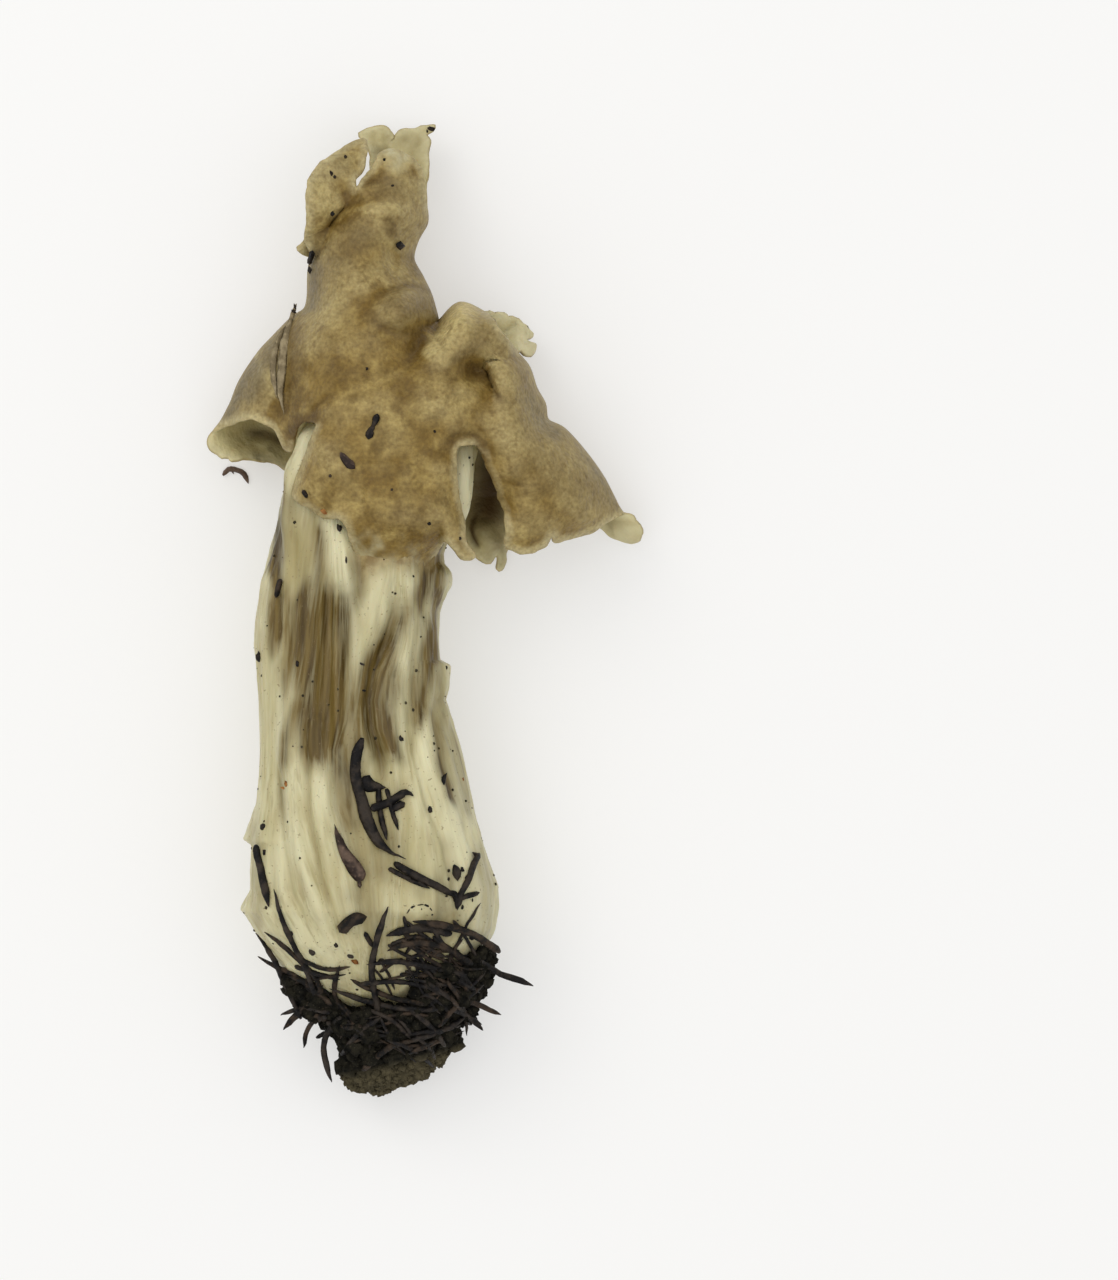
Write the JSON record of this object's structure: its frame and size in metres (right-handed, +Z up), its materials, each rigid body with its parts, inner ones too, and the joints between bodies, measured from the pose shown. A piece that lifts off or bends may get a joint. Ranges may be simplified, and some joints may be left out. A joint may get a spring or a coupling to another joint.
{
  "type": "saddle fungus",
  "caption": "A picked fluted saddle fungus lying on its side: a thin, folded and lobed brown cap, a ribbed cream stipe, and a clod of dark soil with conifer needles at its foot.",
  "frame": {"origin": "on the resting surface, under the middle of the object's box", "axes": "+X to the right, +Y along the stipe from the clod to the tip of the cap, +Z up from the resting surface"},
  "size_m": [0.0631, 0.1404, 0.0295],
  "materials": {
    "cap_skin": "matt brown fungus skin, mottled, with paler thin margins",
    "stipe_flesh": "cream fungus flesh, faintly waxy, smoky brown in the furrows",
    "soil": "dark crumbly forest soil",
    "dry_litter": "dead dark conifer needles and bark crumbs",
    "dry_blade": "dry pale brown blade of a leaf"
  },
  "bodies": {
    "root": {"cap": "cap_skin", "stipe": "stipe_flesh", "soil_clod": "soil", "needle_curved": "dry_litter", "needle_cluster_middle": "dry_litter", "needle_short": "dry_litter", "needle_left": "dry_litter", "needle_pair_right": "dry_litter", "bark_chip": "dry_litter", "needle_thin": "dry_litter", "dry_blade": "dry_blade", "black_bit": "dry_litter", "brown_bit": "dry_litter", "square_bit": "dry_litter", "black_fleck": "dry_litter", "dark_curl": "dry_litter"}
  },
  "joints": []
}
